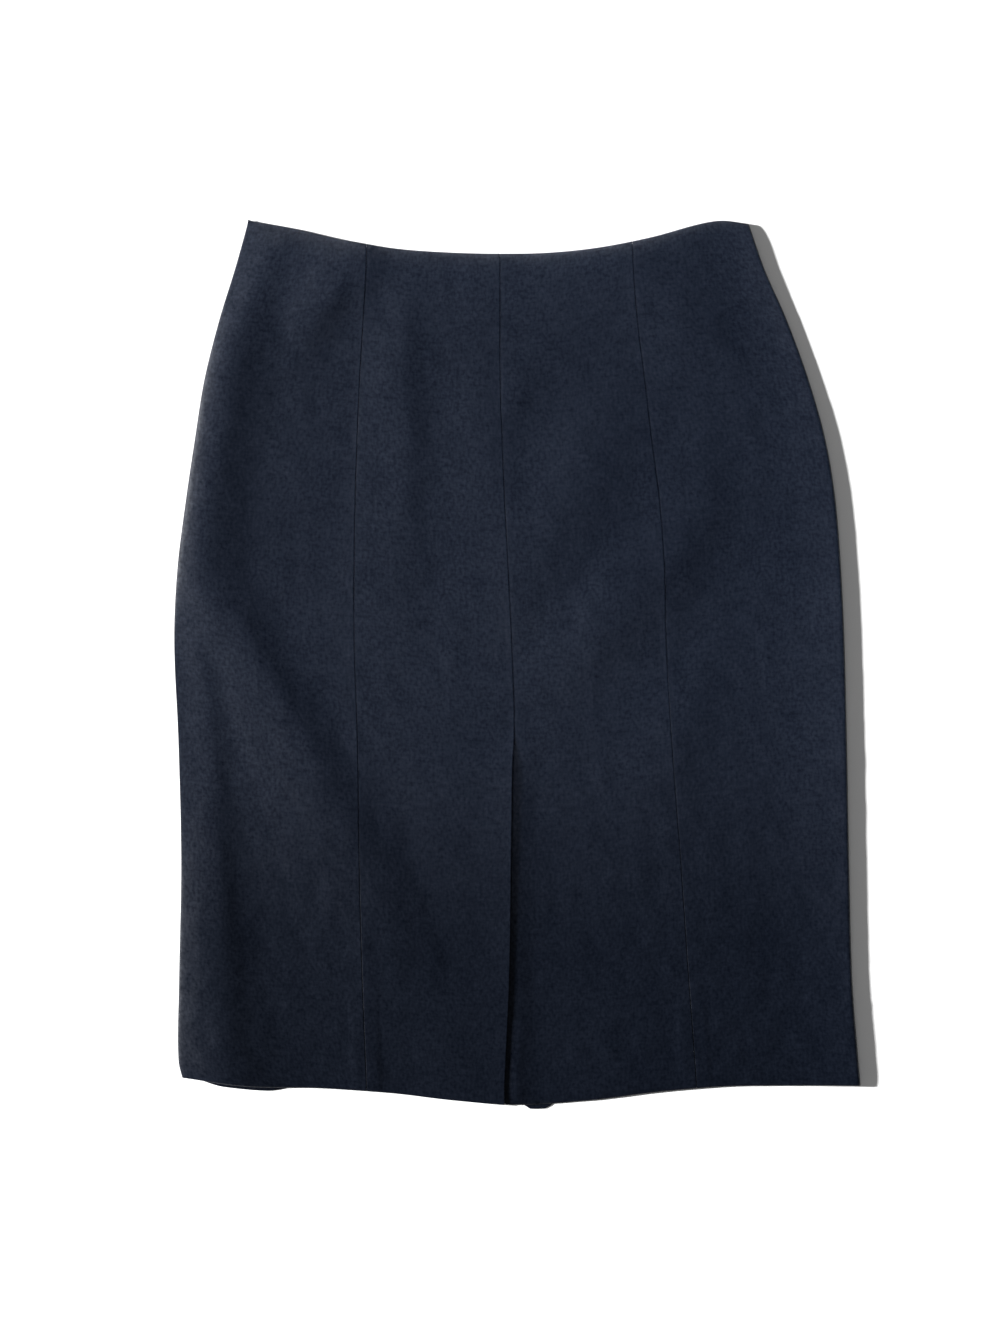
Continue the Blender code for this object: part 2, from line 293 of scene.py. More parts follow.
# Where its hem shows, and how far below the back's
Peek = namedtuple("Peek", "x half_width reach")
PEEKS = (
    Peek(-196.0, 30.0, 2.6),
    Peek(15.0, 9.5, 3.2),
)
PEEK_REACH = 1.5        # half-widths out to where the front's hem is hidden again

# Mesh
FINE = 2.0              # spacing of the back's points
COARSE = 3.5            # spacing of the front's
NEAR_EDGE = (0.0, 0.4, 0.9, 1.6, 2.6, 4.0, 5.8)   # closer points beside each edge
FOLD_ANGLES = (30, 60, 90, 120, 150)              # of the points round a turned edge
# Columns of the rounding of the back's left and right side, and of each side of the front
LEFT_ROUND_STEPS = 16
RIGHT_ROUND_STEPS = 8
FRONT_ROUND_STEPS = 8


# ---------------------------------------------------------------- curves

def ease(t):
    """0 below 0, 1 above 1, and a smooth step between."""
    t = np.clip(t, 0.0, 1.0)
    return t * t * (3 - 2 * t)


def mix(a, b, share):
    """From a to b by a share."""
    return a + (b - a) * share


def smooth_through(keys, values, at):
    """Reads the cubic curve through values at rising keys."""
    keys = np.array(keys, float)
    values = np.array(values, float)
    at = np.clip(at, keys[0], keys[-1])
    slopes = np.gradient(values, keys, edge_order=1)
    slopes[1:-1] = (values[2:] - values[:-2]) / (keys[2:] - keys[:-2])
    i = np.clip(np.searchsorted(keys, at, side="right") - 1, 0, len(keys) - 2)
    span = keys[i + 1] - keys[i]
    t = (at - keys[i]) / span
    rise = values[i + 1] - values[i]
    start_slope = slopes[i] * span
    end_slope = slopes[i + 1] * span
    bend = 3 * rise - 2 * start_slope - end_slope
    twist = start_slope + end_slope - 2 * rise
    return values[i] + t * (start_slope + t * (bend + t * twist))


def line_at(name, y):
    """The x of a side edge or seam at a height y."""
    return smooth_through([s.y for s in SECTIONS], [getattr(s, name) for s in SECTIONS], y)


def edge_at(name, across):
    """The y of the waist edge or hem at a share of the width."""
    return smooth_through([e.across for e in EDGES], [getattr(e, name) for e in EDGES], across)


LENGTH = float(edge_at("waist", 0.5) - edge_at("hem", 0.5))
VENT_Y = float(mix(edge_at("waist", 0.5), edge_at("hem", 0.5), VENT_TOP))


def on_rows(v, x_at):
    """The points of the rows v of the cloth, 0 at the waist and 1 at the hem, on x_at(y)."""
    y = mix(edge_at("waist", 0.5), edge_at("hem", 0.5), v)
    for _ in range(ROW_PASSES):
        left = line_at("left", y)
        across = (x_at(y) - left) / (line_at("right", y) - left)
        y = mix(edge_at("waist", across), edge_at("hem", across), v)
    return x_at(y), y


# ---------------------------------------------------------------- the lie of the cloth

def crest_line(crests):
    """Points along a fold's crest, with its height and widths there."""
    crests = np.array(crests)
    steps = np.hypot(*np.diff(crests[:, :2], axis=0).T)
    along = np.concatenate([[0.0], np.cumsum(steps)])
    at = np.linspace(0.0, along[-1], CURVE_STEPS)
    return np.stack([smooth_through(along, column, at) for column in crests.T], axis=1)


def fold_lift(line, x, y):
    """How much one fold lifts the cloth."""
    # How far along each part of the crest a point lies, how far from it, and on which side
    start, step = line[:-1, None], np.diff(line, axis=0)[:, None]
    from_x, from_y = x.ravel() - start[..., 0], y.ravel() - start[..., 1]
    length = step[..., 0] ** 2 + step[..., 1] ** 2
    t = np.clip((from_x * step[..., 0] + from_y * step[..., 1]) / length, 0, 1)
    distance = np.hypot(from_x - t * step[..., 0], from_y - t * step[..., 1])
    to_right = from_y * step[..., 0] - from_x * step[..., 1] > 0
    height, left, right = (start[..., k] + t * step[..., k] for k in (2, 3, 4))
    nearest = distance.min(axis=0)
    weight = np.exp((nearest - distance) / CREST_BLEND)
    weight /= weight.sum(axis=0)
    height = (weight * height).sum(axis=0)
    width = (weight * np.where(to_right, right, left)).sum(axis=0)
    return (height * np.exp(-((nearest / width) ** 2))).reshape(x.shape)


CREST_LINES = [crest_line(crests) for crests in FOLDS.values()]


def ripple_waves():
    """The waves of the cloth's faint unevenness: across, down, phase and height of each."""
    random = np.random.default_rng(RIPPLE_SEED)
    number = 2 * math.pi / np.exp(random.uniform(*np.log(RIPPLE_LENGTHS), RIPPLES))
    angle = random.uniform(-RIPPLE_TURN, RIPPLE_TURN, RIPPLES)
    phase = random.uniform(0, 2 * math.pi, RIPPLES)
    height = RIPPLE_SLOPE * math.sqrt(2 / RIPPLES) / number
    return number * np.cos(angle), number * np.sin(angle), phase, height


WAVES = ripple_waves()


def ripple(x, y):
    """How much the ripples lift the cloth."""
    total = np.zeros(x.shape)
    for across, down, phase, height in zip(*WAVES):
        total += height * np.sin(across * x + down * y + phase)
    return total


def allowance_steps(x, y, v):
    """The faint steps that the turned hem and the pressed-open seam allowances make."""
    above_hem = (1 - v) * LENGTH
    in_hem = 1 - ease((above_hem - HEM_TURN + ALLOWANCE_LEAD) / ALLOWANCE_EDGE)
    total = HEM_STEP * in_hem
    for name in ("left_princess", "center", "right_princess"):
        beside = np.abs(x - line_at(name, y))
        over = 1 - ease((beside - SEAM_ALLOWANCE + ALLOWANCE_LEAD) / ALLOWANCE_EDGE)
        total = total + over * mix(SEAM_STEP, SEAM_STEP_IN_HEM, in_hem)
    return total


def table_at(table, name, y):
    """Reads a table's column at heights y."""
    return smooth_through([row.y for row in table], [getattr(row, name) for row in table], y)


def right_climb(x, y):
    """How much the cloth climbs toward the right side."""
    inside = line_at("right", y) - x - RIGHT_ROUNDING
    share = 1 - np.clip(inside / table_at(RIGHT_CLIMB, "reach", y), 0, 1)
    return table_at(RIGHT_CLIMB, "height", y) * share ** 2


def side_seam_height(side, y):
    """How high the seam between front and back lies."""
    if side == "left":
        return table_at(LEFT_ROUNDING, "seam", y)
    return np.full(np.shape(y), RIGHT_SEAM_HEIGHT)


def waist_lift(v):
    """How much the cloth swells below the waist."""
    return WAIST_LIFT * (1 - ease(v * LENGTH / WAIST_LIFT_REACH))


def edge_drop(v):
    """How far the cloth rounds down beside its waist edge and its hem."""
    to_waist = np.clip(v * LENGTH / WAIST_ROUND, 0, 1)
    to_hem = np.clip((1 - v) * LENGTH / HEM_ROUND, 0, 1)
    at_waist = WAIST_DROP * (1 - np.sqrt(1 - (1 - to_waist) ** 2))
    at_hem = HEM_DROP * (1 - np.sqrt(1 - (1 - to_hem) ** 2))
    return at_waist + at_hem


def back_height(x, y, v):
    """Height of the back's cloth, before its sides round down and its vent parts."""
    height = BACK_REST + sum(fold_lift(line, x, y) for line in CREST_LINES)
    height = height + waist_lift(v) + right_climb(x, y)
    height = height + ripple(x, y) + allowance_steps(x, y, v)
    above_low = np.logaddexp(0, (height - BACK_LOW) / LOW_SOFTNESS) * LOW_SOFTNESS
    return BACK_LOW + above_low - edge_drop(v)


def step_at_seam(x, y, name, left_of_it):
    """How far a panel's edge stands up or sinks beside a seam."""
    step = table_at(SEAM_STANDS, name, y)
    beside = np.abs(x - line_at(name, y))
    if left_of_it:
        return LEFT_STANDS * step * (1 - ease(beside / LEFT_STANDS_REACH))
    return (LEFT_STANDS - 1) * step * (1 - ease(beside / RIGHT_SINKS_REACH))


def vent_part(y):
    """How far the two sides of the vent have parted: 0 above it, 1 well below its top."""
    return ease((VENT_Y + PARTING_START - y) / PARTING_LENGTH)


# ---------------------------------------------------------------- panels

def graded(length, spacing):
    """Distances along a length with closer ones beside both ends."""
    near = np.array(NEAR_EDGE)
    middle = length - 2 * near[-1]
    steps = max(round(middle / spacing), 1)
    even = near[-1] + middle * np.arange(1, steps) / steps
    return np.concatenate([near, even, length - near[::-1]])


def normals_of(face):
    """Unit normals of a grid of points, by rows and columns."""
    down = np.gradient(face, axis=0)
    across = np.gradient(face, axis=1)
    normal = np.cross(down, across)
    return normal / np.linalg.norm(normal, axis=2, keepdims=True)


def turn_under(face, normals, layer, count, first):
    """The strip that folds round the first or last column and runs back under count columns."""
    edge = 0 if first else -1
    inner = 1 if first else -2
    outward = face[:, edge] - face[:, inner]
    outward /= np.linalg.norm(outward, axis=1, keepdims=True)
    radius = layer / 2
    strip = []
    for degrees in FOLD_ANGLES:
        angle = math.radians(degrees)
        out = outward * radius * math.sin(angle)
        strip.append(face[:, edge] + out - normals[:, edge] * radius * (1 - math.cos(angle)))
    columns = range(count + 1) if first else range(-1, -count - 2, -1)
    strip += [face[:, k] - normals[:, k] * layer for k in columns]
    strip = np.stack(strip, axis=1)
    return strip[:, ::-1] if first else strip


def steps_within(points, width):
    """How many points of a line lie within a width of its start."""
    along = np.cumsum(np.linalg.norm(np.diff(points, axis=0), axis=1))
    return int(np.searchsorted(along, width))


def arc_coordinates(grid):
    """Distances over the cloth from the middle column and row, which the weave follows."""
    across = np.linalg.norm(np.diff(grid, axis=1), axis=2)
    down = np.linalg.norm(np.diff(grid, axis=0), axis=2)
    u = np.concatenate([np.zeros((grid.shape[0], 1)), np.cumsum(across, axis=1)], axis=1)
    v = np.concatenate([np.zeros((1, grid.shape[1])), np.cumsum(down, axis=0)], axis=0)
    u -= u[:, [grid.shape[1] // 2]]
    v -= v[[grid.shape[0] // 2], :]
    return np.stack([u, -v], axis=2)


def make_panel(name, face, underlay=None, facing=SEAM_ALLOWANCE):
    """Builds one panel from its face's points: turns its edges in, and gives it its thickness.

    Below the vent's top, an underlay's points take the place of the left seam allowance, and the
    right one is as wide as the facing.
    """
    normals = normals_of(face)
    rows, columns = face.shape[:2]
    middle = face[rows // 2]
    left_count = steps_within(middle, SEAM_ALLOWANCE)
    right_count = steps_within(middle[::-1], SEAM_ALLOWANCE)
    facing_count = steps_within(middle[::-1], facing)
    left = turn_under(face, normals, SEAM_LAYER, left_count, first=True)
    right = turn_under(face, normals, SEAM_LAYER, facing_count, first=False)
    before = left.shape[1]
    above_vent = np.full(rows, True)
    if underlay is not None:
        above_vent = face[:, 0, 1] > VENT_Y
        left = np.where(above_vent[:, None, None], left, underlay(before))
    elif facing > SEAM_ALLOWANCE:
        above_vent = face[:, -1, 1] > VENT_Y
    grid = np.concatenate([left, face, right], axis=1)

    def turned(width, first):
        """The waist's or hem's turning, padded to the grid's columns."""
        line = face[:, columns // 2] if first else face[::-1, columns // 2]
        count = steps_within(line, width)
        flipped = face.transpose(1, 0, 2), normals.transpose(1, 0, 2)
        strip = turn_under(*flipped, TURN_LAYER, count, first).transpose(1, 0, 2)
        return np.pad(strip, ((0, 0), (before, right.shape[1]), (0, 0)), mode="edge")

    waist = turned(WAIST_TURN, True)
    hem = turned(HEM_TURN, False)
    top = waist.shape[0]
    grid = np.concatenate([waist, grid, hem], axis=0)
    row, column = np.indices((grid.shape[0] - 1, grid.shape[1] - 1))
    in_rows = (row >= top) & (row < top + rows - 1)
    in_columns = (column >= before) & (column < before + columns - 1)

    # Above the vent, the right allowance ends where the facing goes on. At its top, the underlay is
    # cut off from the left allowance.
    above = np.concatenate([np.full(top, True), above_vent, np.full(hem.shape[0], False)])
    cut = above[:-1, None] & (column >= before + columns + len(FOLD_ANGLES) + right_count)
    if underlay is not None:
        cut |= (column < before) & (above[:-1] != above[1:])[:, None]
    return make_cloth(name, grid, (in_rows | in_columns) & ~cut)


def make_cloth(name, grid, kept):
    """Makes a mesh of the grid's points, of the cells that are kept."""
    columns = grid.shape[1]
    row, column = np.nonzero(kept)
    first = row * columns + column
    corners = np.stack([first, first + columns, first + columns + 1, first + 1], axis=1)
    used, corners = np.unique(corners, return_inverse=True)
    corners = corners.reshape(-1, 4)
    points = grid.reshape(-1, 3)[used] * MM
    cloth = arc_coordinates(grid).reshape(-1, 2)[used] * MM
    mesh = bpy.data.meshes.new(name)
    mesh.vertices.add(len(points))
    mesh.vertices.foreach_set("co", points.ravel())
    mesh.loops.add(corners.size)
    mesh.loops.foreach_set("vertex_index", corners.ravel())
    mesh.polygons.add(len(corners))
    mesh.polygons.foreach_set("loop_start", np.arange(0, corners.size, 4))
    mesh.update()
    mesh.validate()

    # Where each corner lies on the flat cloth, in metres
    layer = mesh.uv_layers.new(name="cloth")
    layer.uv.foreach_set("vector", cloth[corners.ravel()].astype(np.float32).ravel())
    mesh.shade_smooth()
    piece = bpy.data.objects.new(name, mesh)
    bpy.context.scene.collection.objects.link(piece)
    wall = piece.modifiers.new("thickness", "SOLIDIFY")
    wall.thickness = THICKNESS * MM
    wall.offset = 0.0
    return piece


def column_of(v, x_at, height):
    """One column of a panel's points, which lie on x_at(y), at height(x, y, v)."""
    x, y = on_rows(v, x_at)
    return np.stack([x, y, height(x, y, v)], axis=1)


def rows_of(spacing):
    """Where a panel's rows of points lie, 0 at the waist and 1 at the hem."""
    return graded(LENGTH, spacing) / LENGTH


def back_side(side):
    """The panel from a side seam, over the side's rounding, to the princess seam."""
    v = rows_of(FINE)
    left_side = side == "left"
    steps = LEFT_ROUND_STEPS if left_side else RIGHT_ROUND_STEPS
    inward = 1 if left_side else -1
    princess = side + "_princess"

    def rounding_width(y):
        return table_at(LEFT_ROUNDING, "width", y) if left_side else RIGHT_ROUNDING

    def rounding_x(y, cosine):
        return line_at(side, y) + inward * (THICKNESS / 2 + rounding_width(y) * (1 - cosine))

    def rounding_height(x, y, v, cosine):
        bulge = table_at(LEFT_ROUNDING, "bulge", y) if left_side else 1.0
        climb = mix(1 - cosine, math.sqrt(1 - cosine ** 2), bulge)
        start = side_seam_height(side, y) + SEAM_LAYER / 2 + SIDE_SEAM_GAP
        return mix(start, back_height(x, y, v), climb)

    columns = []
    for cosine in np.cos(np.linspace(0, math.pi / 2, steps, endpoint=False)):
        columns.append(column_of(
            v, lambda y: rounding_x(y, cosine),
            lambda x, y, v: rounding_height(x, y, v, cosine)))
    width = abs(line_at(princess, 0.0) - rounding_x(0.0, 0.0)) - HALF_GAP
    # The rounding runs on into the panel, so there its points need not lie closer
    beside_rounding = np.arange(0.0, NEAR_EDGE[-1], FINE)
    distances = np.concatenate([beside_rounding, graded(width, FINE)[len(NEAR_EDGE) - 1:]])
    for share in distances / width:
        columns.append(column_of(
            v, lambda y: mix(rounding_x(y, 0.0), line_at(princess, y) - inward * HALF_GAP, share),
            lambda x, y, v: back_height(x, y, v) + step_at_seam(x, y, princess, left_side)))
    if not left_side:
        columns.reverse()
    return make_panel("back_side_" + side, np.stack(columns, axis=1))


def back_center(name, left, right, height, right_in=lambda y: HALF_GAP, **edges):
    """The panel between two seams. Its right edge lies in from its seam by right_in(y)."""
    v = rows_of(FINE)
    width = line_at(right, 0.0) - line_at(left, 0.0) - 2 * HALF_GAP

    def stepped(x, y, v):
        at_left = step_at_seam(x, y, left, left_of_it=False)
        at_right = step_at_seam(x, y, right, left_of_it=True)
        return height(x, y, v) + at_left + at_right

    columns = []
    for share in graded(width, FINE) / width:
        columns.append(column_of(
            v, lambda y: mix(line_at(left, y) + HALF_GAP, line_at(right, y) - right_in(y), share),
            stepped))
    return make_panel(name, np.stack(columns, axis=1), **edges)


def overlap_back(y):
    """How far the left panel's edge lies in from the centre line."""
    return HALF_GAP + table_at(VENT, "back", y) * vent_part(y)


def overlap_height(x, y, v):
    """Height of the left centre panel, which lifts and curls up beside the vent."""
    z = back_height(x, y, v)
    from_edge = line_at("center", y) - overlap_back(y) - x
    reach = ease((UNDERLAY_WIDTH + OVERLAP_REACH - from_edge) / OVERLAP_REACH) * vent_part(y)
    lip = np.clip(1 - from_edge / LIP_REACH, 0, 1) ** 2 * vent_part(y)
    lifted = np.maximum(z, mix(z, table_at(VENT, "overlap", y), reach))
    return lifted + table_at(VENT, "lip", y) * lip


def dipped_height(x, y, v):
    """Height of the right centre panel, which dips to its underlay beside the vent."""
    z = back_height(x, y, v)
    dip = np.clip(1 - (x - line_at("center", y)) / VENT_DIP_REACH, 0, 1) ** 2
    return mix(z, table_at(VENT, "underlay", y), dip * vent_part(y))


def underlay_points(count):
    """The right panel's cloth that runs on under the left one, in a number of columns."""
    v = rows_of(FINE)
    columns = []
    for reach in np.linspace(UNDERLAY_WIDTH, HALF_GAP, count, endpoint=False):
        x, y = on_rows(v, lambda y: line_at("center", y) - reach + 2 * HALF_GAP)
        height = table_at(VENT, "underlay", y)
        columns.append(np.stack([x, y + UNDERLAY_RAISE * v, height], axis=1))
    return np.stack(columns, axis=1)


def front():
    """The plain panel that the back lies on. Its sides round up to the side seams."""
    v = rows_of(COARSE)

    def flat(x, y, v):
        return np.full(x.shape, FRONT_HEIGHT)

    def radius(side, y):
        return side_seam_height(side, y) - FRONT_HEIGHT - SEAM_LAYER / 2

    def rounding_x(side, y, cosine):
        inward = 1 if side == "left" else -1
        return line_at(side, y) + inward * (THICKNESS / 2 + radius(side, y) * (1 - cosine))

    def rounding(side):
        columns = []
        for angle in np.linspace(0, math.pi / 2, FRONT_ROUND_STEPS, endpoint=False):
            columns.append(column_of(
                v, lambda y: rounding_x(side, y, math.cos(angle)),
                lambda x, y, v: FRONT_HEIGHT + radius(side, y) * (1 - math.sin(angle))))
        return columns

    columns = rounding("left")
    steps = round((line_at("right", 0.0) - line_at("left", 0.0)) / COARSE)
    for share in np.linspace(0, 1, steps + 1):
        columns.append(column_of(
            v, lambda y: mix(rounding_x("left", y, 0.0), rounding_x("right", y, 0.0), share), flat))
    columns += rounding("right")[::-1]
    face = np.stack(columns, axis=1)
    x, y = face[..., 0], face[..., 1]
    shown = sum((FRONT_INSET + peek.reach) * ease(PEEK_REACH - abs(x - peek.x) / peek.half_width)
                for peek in PEEKS)
    near_waist = ease(1 - v[:, None] / FRONT_EASE)
    near_hem = ease(1 - (1 - v[:, None]) / FRONT_EASE)
    face[..., 1] = y - FRONT_INSET * near_waist + (FRONT_INSET - shown) * near_hem
    # It faces down, so its columns run from right to left
    return make_panel("front", face[:, ::-1])


# ---------------------------------------------------------------- materials

class Nodes:
    """Adds nodes to a material, and joins them."""

    def __init__(self, name):
        self.material = bpy.data.materials.new(name)
        self.material.use_nodes = True
        self.tree = self.material.node_tree
        self.shader = self.tree.nodes["Principled BSDF"]

    def add(self, kind, **settings):
        node = self.tree.nodes.new("ShaderNode" + kind)
        for key, value in settings.items():
            setattr(node, key, value)
        return node

    def link(self, output, socket):
        self.tree.links.new(output, socket)

    def math(self, operation, *values):
        node = self.add("Math", operation=operation)
        for socket, value in zip(node.inputs, values):
            if isinstance(value, (int, float)):
                socket.default_value = value
            else:
                self.link(value, socket)
        return node.outputs[0]

    def scaled(self, value, factor, offset):
        """A value times a factor, plus an offset."""
        return self.math("ADD", self.math("MULTIPLY", value, factor), offset)

    def noise(self, vector, scale, detail):
        """Noise over the cloth, with its own number of grains per metre across and down."""
        mapping = self.add("Mapping")
        mapping.inputs["Scale"].default_value = (*scale, 1.0)
        self.link(vector, mapping.inputs["Vector"])
        node = self.add("TexNoise", noise_dimensions="2D")
        node.inputs["Scale"].default_value = 1.0
        node.inputs["Detail"].default_value = detail
        self.link(mapping.outputs[0], node.inputs["Vector"])
        return node.outputs["Fac"]


NAVY = (0.0035, 0.0071, 0.0171)
YARN = 0.48 * MM                # from one yarn to the next
YARN_ROUNDNESS = 0.95           # 1 where a yarn's top falls all the way to its two edges
FLOAT_ROUNDNESS = 0.80          # the same for its fall to where it dives under the next yarn
BUMP_STRENGTH = 0.45
BUMP_HEIGHT = 0.06 * MM

# Light and dark stretches of the yarns, and broader ones. Grains are per metre across and down.
WARP_GRAINS = (500.0, 290.0)
WEFT_GRAINS = (240.0, 560.0)
PATCH_GRAINS = (70.0, 70.0)
BROAD_GRAINS = (14.0, 14.0)
WARP_SHARE = 0.62               # the weft has the rest
TONE_CONTRAST = 1.30            # between a light yarn's colour and a dark one's
PATCH_CONTRAST = 0.30
BROAD_CONTRAST = 0.20
# Painted shade in the weave: the colour is made darker in the gaps between the yarns, where shade
# falls
GAP_SHADE_CONTRAST = 0.35          # painted shade: how much darker the colour is in the gaps between yarns than on their tops
GAP_SHADE_TONE = 0.80

SHINE = 0.20
SHINE_CONTRAST = 1.8            # how much more a light yarn's shine varies than its colour
WOOL_ROUGHNESS = 0.50
SHEEN = 0.06
SHEEN_ROUGHNESS = 0.35


def wool(name, colour):
    """Worsted wool: a fine plain weave of mottled yarns, with a soft sheen."""
    n = Nodes(name)
    cloth = n.add("UVMap", uv_map="cloth").outputs[0]
    split = n.add("SeparateXYZ")
    n.link(cloth, split.inputs[0])
    across, along = split.outputs["X"], split.outputs["Y"]

    # Where a point lies in the weave: which yarn is on top, and how far over it
    warp = n.math("DIVIDE", across, YARN)
    weft = n.math("DIVIDE", along, YARN)
    warp_number = n.math("FLOOR", warp)
    weft_number = n.math("FLOOR", weft)
    warp_on_top = n.math("PINGPONG", n.math("ADD", warp_number, weft_number), 1.0)
    in_warp = n.math("SUBTRACT", n.math("SUBTRACT", warp, warp_number), 0.5)
    in_weft = n.math("SUBTRACT", n.math("SUBTRACT", weft, weft_number), 0.5)

    def choose(if_warp, if_weft):
        node = n.add("Mix", data_type="FLOAT")
        n.link(warp_on_top, node.inputs[0])
        n.link(if_weft, node.inputs[2])
        n.link(if_warp, node.inputs[3])
        return node.outputs[0]

    over_yarn = n.math("MULTIPLY", choose(in_warp, in_weft), math.pi * YARN_ROUNDNESS)
    along_yarn = n.math("MULTIPLY", choose(in_weft, in_warp), math.pi * FLOAT_ROUNDNESS)
    relief = n.math("MULTIPLY", n.math("COSINE", over_yarn), n.math("COSINE", along_yarn))

    # Mottled yarns: lighter and darker stretches that run along each yarn
    warp_tone = n.math("MULTIPLY", n.noise(cloth, WARP_GRAINS, detail=2.0), WARP_SHARE)
    weft_tone = n.math("MULTIPLY", n.noise(cloth, WEFT_GRAINS, detail=2.0), 1 - WARP_SHARE)
    from_middle = n.math("SUBTRACT", n.math("ADD", warp_tone, weft_tone), 0.5)
    tone = n.scaled(from_middle, TONE_CONTRAST, 1.0)
    patch = n.noise(cloth, PATCH_GRAINS, detail=2.0)
    broad = n.noise(cloth, BROAD_GRAINS, detail=1.0)
    tone = n.math("MULTIPLY", tone, n.scaled(patch, PATCH_CONTRAST, 1 - PATCH_CONTRAST / 2))
    tone = n.math("MULTIPLY", tone, n.scaled(broad, BROAD_CONTRAST, 1 - BROAD_CONTRAST / 2))
    # Painted shade: the colour darkens into the gaps between the yarns
    tone = n.math("MULTIPLY", tone, n.scaled(relief, GAP_SHADE_CONTRAST, GAP_SHADE_TONE))

    paint = n.add("Mix", data_type="RGBA", blend_type="MULTIPLY")
    paint.inputs[0].default_value = 1.0
    paint.inputs[6].default_value = (*colour, 1.0)
    n.link(tone, paint.inputs[7])
    n.link(paint.outputs[2], n.shader.inputs["Base Color"])

    # Light yarns also shine more, so that they look greyer than dark ones
    shine = n.scaled(n.math("SUBTRACT", tone, 1.0), SHINE_CONTRAST, 1.0)
    shine = n.math("MULTIPLY", n.math("MAXIMUM", shine, 0.0), SHINE)
    n.link(shine, n.shader.inputs["Specular IOR Level"])

    bump = n.add("Bump")
    bump.inputs["Strength"].default_value = BUMP_STRENGTH
    bump.inputs["Distance"].default_value = BUMP_HEIGHT
    n.link(relief, bump.inputs["Height"])
    n.link(bump.outputs[0], n.shader.inputs["Normal"])

    n.shader.inputs["Roughness"].default_value = WOOL_ROUGHNESS
    n.shader.inputs["Sheen Weight"].default_value = SHEEN
    n.shader.inputs["Sheen Roughness"].default_value = SHEEN_ROUGHNESS
    return n.material


PAPER_TONE = 0.9
PAPER_ROUGHNESS = 0.9


def paper(name):
    """Plain matt paper."""
    n = Nodes(name)
    n.shader.inputs["Base Color"].default_value = (PAPER_TONE, PAPER_TONE, PAPER_TONE, 1.0)
    n.shader.inputs["Roughness"].default_value = PAPER_ROUGHNESS
    n.shader.inputs["Specular IOR Level"].default_value = 0.0
    return n.material


# ---------------------------------------------------------------- the skirt

navy = wool("navy_wool", NAVY)

pieces = {
    "back_side_left": back_side("left"),
    "back_center_left": back_center(
        "back_center_left", "left_princess", "center",
        overlap_height, overlap_back, facing=UNDERLAY_WIDTH),
    "back_center_right": back_center(
        "back_center_right", "center", "right_princess",
        dipped_height, underlay=underlay_points),
    "back_side_right": back_side("right"),
    "front": front(),
}
for node, piece in pieces.items():
    piece.name = node + "_cloth"
    piece.data.materials.append(navy)
    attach(piece, "root")
    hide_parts(node)

# What each piece lies on
RESTS_ON = {
    "back_side_left": ["front"],
    "back_center_left": ["back_center_right"],
    "back_center_right": ["front"],
    "back_side_right": ["front"],
    "front": [],
}


def cut_of(piece):
    """Width, length and area in metres of a panel as it is cut, with all that is turned in."""
    mesh = piece.data
    cloth = np.empty(2 * len(mesh.loops))
    mesh.uv_layers["cloth"].uv.foreach_get("vector", cloth)
    width, length = np.ptp(cloth.reshape(-1, 2), axis=0)
    return float(width), float(length), sum(face.area for face in mesh.polygons)


for node, under in RESTS_ON.items():
    width, length, area = cut_of(pieces[node])

# ---------------------------------------------------------------- floor and camera

FLOOR_SIZE = 8.0                        # metres

bpy.ops.mesh.primitive_plane_add(size=FLOOR_SIZE, location=(0, 0, 0))
floor = bpy.context.object
floor.name = "floor"
floor.data.materials.append(paper("floor"))

# The camera looks straight down: the picture is 720 mm by 960 mm of floor
PICTURE_HEIGHT = 1333                   # pixels
PICTURE_SCALE = 0.72                    # millimetres for each pixel
PICTURE_CENTER = (-12.5, -1.1)
CAMERA_HEIGHT = 2000.0
SENSOR = 36.0

camera_data = bpy.data.cameras.new("camera")
camera_data.sensor_width = SENSOR
camera_data.lens = SENSOR * CAMERA_HEIGHT / (PICTURE_HEIGHT * PICTURE_SCALE)
camera = bpy.data.objects.new("camera", camera_data)
camera.location = (PICTURE_CENTER[0] * MM, PICTURE_CENTER[1] * MM, CAMERA_HEIGHT * MM)
bpy.context.scene.collection.objects.link(camera)
bpy.context.scene.camera = camera

# ---------------------------------------------------------------- light

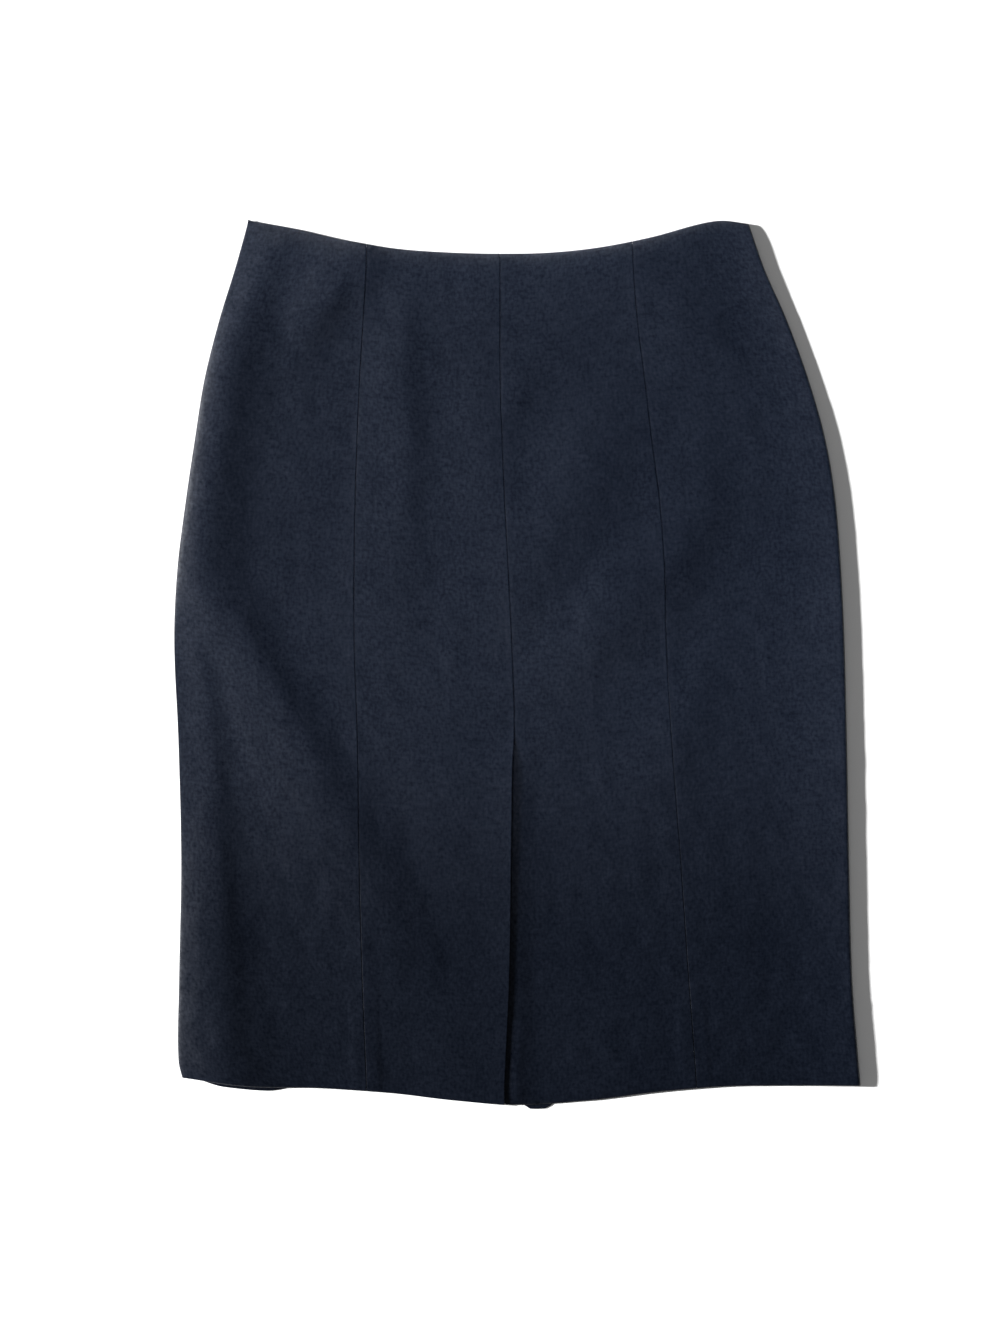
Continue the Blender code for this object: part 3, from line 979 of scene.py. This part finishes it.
# Each lamp lights either the cloth or the floor. Its azimuth and elevation are seen from its
# target. Angles are in degrees, lengths in metres and power in watts.
Lamp = namedtuple("Lamp", "name azimuth elevation distance target width height power spread")
CLOTH_LAMPS = (
    Lamp("key", 174.0, 16.0, 12.0, (0.0, 0.0, 0.0), 3.07, 3.73, 3400.0, 180.0),
    Lamp("upper", 110.0, 32.0, 1.8, (0.0, 0.53, 0.0), 1.10, 0.72, 1.38, 5.2),
    Lamp("lower", 245.0, 50.0, 1.8, (0.0, 0.332, 0.0), 1.10, 0.72, 1.0, 7.5),
    Lamp("waist", 112.0, 32.0, 1.8, (-0.12, 0.35, 0.0), 0.40, 0.11, 0.062, 2.4),
)
FLOOR_LAMPS = (
    Lamp("floor key", 174.0, 30.0, 6.0, (0.0, 0.0, 0.0), 0.48, 0.48, 1050.0, 180.0),
    Lamp("floor fill", 90.0, 80.0, 3.0, (0.0, 0.0, 0.0), 2.0, 2.0, 10.0, 180.0),
)
SKY_STRENGTH = 0.11


def soft_box(lamp, lit):
    """A rectangular light that lights some objects only. Its width runs as near to X as it can."""
    data = bpy.data.lights.new(lamp.name, "AREA")
    data.shape = "RECTANGLE"
    data.size, data.size_y = lamp.width, lamp.height
    data.energy = lamp.power
    data.spread = math.radians(lamp.spread)
    azimuth, elevation = math.radians(lamp.azimuth), math.radians(lamp.elevation)
    level = math.cos(elevation)
    toward = Vector((level * math.cos(azimuth), level * math.sin(azimuth), math.sin(elevation)))
    across = Vector((1, 0, 0))
    across = (across - across.dot(toward) * toward).normalized()
    turn = Matrix((across, toward.cross(across), toward)).transposed()
    place = Matrix.Translation(Vector(lamp.target) + lamp.distance * toward)
    light = bpy.data.objects.new(lamp.name, data)
    light.matrix_world = place @ turn.to_4x4()
    light.visible_camera = False
    bpy.context.scene.collection.objects.link(light)
    group = bpy.data.collections.new(lamp.name + " lights")
    for thing in lit:
        group.objects.link(thing)
    light.light_linking.receiver_collection = group


for lamp in CLOTH_LAMPS:
    soft_box(lamp, pieces.values())
for lamp in FLOOR_LAMPS:
    soft_box(lamp, [floor])

world = bpy.data.worlds.new("world")
world.use_nodes = True
world.node_tree.nodes["Background"].inputs["Color"].default_value = (1, 1, 1, 1)
world.node_tree.nodes["Background"].inputs["Strength"].default_value = SKY_STRENGTH
bpy.context.scene.world = world
bpy.context.scene.view_settings.view_transform = "Standard"
